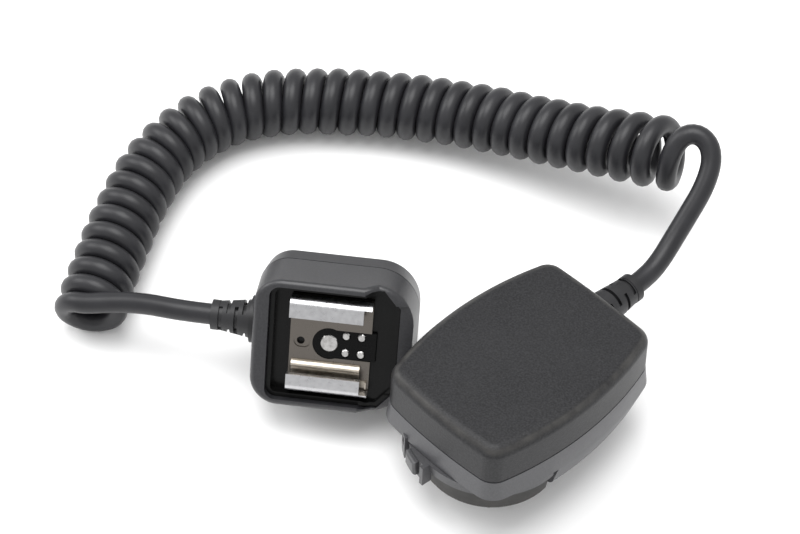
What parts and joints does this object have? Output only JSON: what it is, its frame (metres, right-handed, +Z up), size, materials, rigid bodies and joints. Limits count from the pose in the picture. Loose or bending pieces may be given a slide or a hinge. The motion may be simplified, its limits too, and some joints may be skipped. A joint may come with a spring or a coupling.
{
  "type": "off-camera flash shoe cord",
  "caption": "Curly cord between a camera foot adapter with a locking lever and a flash head with an accessory shoe, a cold foot and a tripod socket.",
  "frame": {"origin": "centre of the bounding box of the two heads, on the surface that the object stands on", "axes": "+X from the flash head towards the camera head, +Y towards the curly cord behind them, +Z up"},
  "size_m": [0.1434, 0.1164, 0.0327],
  "materials": {
    "flash_housing": "fine satin texture",
    "liner_plastic": "fine texture",
    "shoe_steel": "satin nickel plate",
    "spring_steel": "plain",
    "insulator_plastic": "gloss",
    "contact_metal": "turned nickel plate",
    "screw_steel": "zinc plate",
    "circuit_board": "solder mask",
    "foot_plastic": "plain",
    "insert_metal": "plain",
    "relief_rubber": "matte",
    "clamp_metal": "plain",
    "cord_jacket": "matte",
    "cover_plastic": "fine spark-eroded texture, worn edges",
    "lower_plastic": "fine satin texture",
    "foot_metal": "black coating",
    "boot_rubber": "matte",
    "lever_plastic": "satin"
  },
  "bodies": {
    "root": {"flash_upper_shell": "flash_housing", "flash_lower_shell": "flash_housing", "shoe_well": "liner_plastic", "shoe_bracket": "shoe_steel", "shoe_leaf_spring": "spring_steel", "shoe_contact_block": "insulator_plastic", "shoe_center_contact": "contact_metal", "shoe_data_contacts": "contact_metal", "shoe_bracket_screws": "screw_steel", "flash_circuit_board": "circuit_board", "cold_foot": "foot_plastic", "tripod_socket": "insert_metal", "flash_housing_screws": "screw_steel", "flash_strain_relief": "relief_rubber", "flash_cable_clamp": "clamp_metal", "flash_cord_tail": "cord_jacket", "camera_top_cover": "cover_plastic", "camera_lower_housing": "lower_plastic", "camera_housing_screws": "screw_steel", "foot_block": "foot_plastic", "mounting_foot": "foot_metal", "foot_pin_insulator": "insulator_plastic", "foot_screws": "screw_steel", "pin_contact_pads": "contact_metal", "center_pin_spring": "spring_steel", "data_pin_springs": "spring_steel", "foot_boot": "boot_rubber", "camera_circuit_board": "circuit_board", "camera_strain_relief": "relief_rubber", "camera_cable_clamp": "clamp_metal", "camera_cord_tail": "cord_jacket", "curly_cord": "cord_jacket", "flash_lead": "cord_jacket", "camera_lead": "cord_jacket"},
    "lock_lever": {"lock_lever": "lever_plastic"},
    "lock_pin": {"lock_pin": "contact_metal"},
    "lock_release_button": {"lock_release_button": "lever_plastic"},
    "foot_center_pin": {"foot_center_pin": "contact_metal"},
    "foot_data_pins": {"foot_data_pins": "contact_metal"}
  },
  "joints": [
    {"name": "lock_lever_turn", "type": "hinge", "parent": "root", "child": "lock_lever", "pos_m": [0.01272, -0.01051, 0.0138], "axis": [0.0174, 0.1591, 0.9871], "range_deg": [0, 35]},
    {"name": "lock_pin_slide", "type": "slide", "parent": "root", "child": "lock_pin", "axis": [-0.0174, -0.1591, -0.9871], "range_m": [0, 0.0016]},
    {"name": "release_button_press", "type": "slide", "parent": "lock_lever", "child": "lock_release_button", "axis": [0.9047, 0.4178, -0.0832], "range_m": [0, 0.0007], "stiffness_N_per_m": 200},
    {"name": "center_pin_press", "type": "slide", "parent": "root", "child": "foot_center_pin", "axis": [0.0174, 0.1591, 0.9871], "range_m": [0, 0.0006], "stiffness_N_per_m": 300, "deforming": ["center_pin_spring"]},
    {"name": "data_pins_press", "type": "slide", "parent": "root", "child": "foot_data_pins", "axis": [0.0174, 0.1591, 0.9871], "range_m": [0, 0.0006], "stiffness_N_per_m": 300, "deforming": ["data_pin_springs"]}
  ],
  "couplings": [
    {"joint": "lock_pin_slide", "follows": "lock_lever_turn", "m_per_rad": 0.002619}
  ]
}
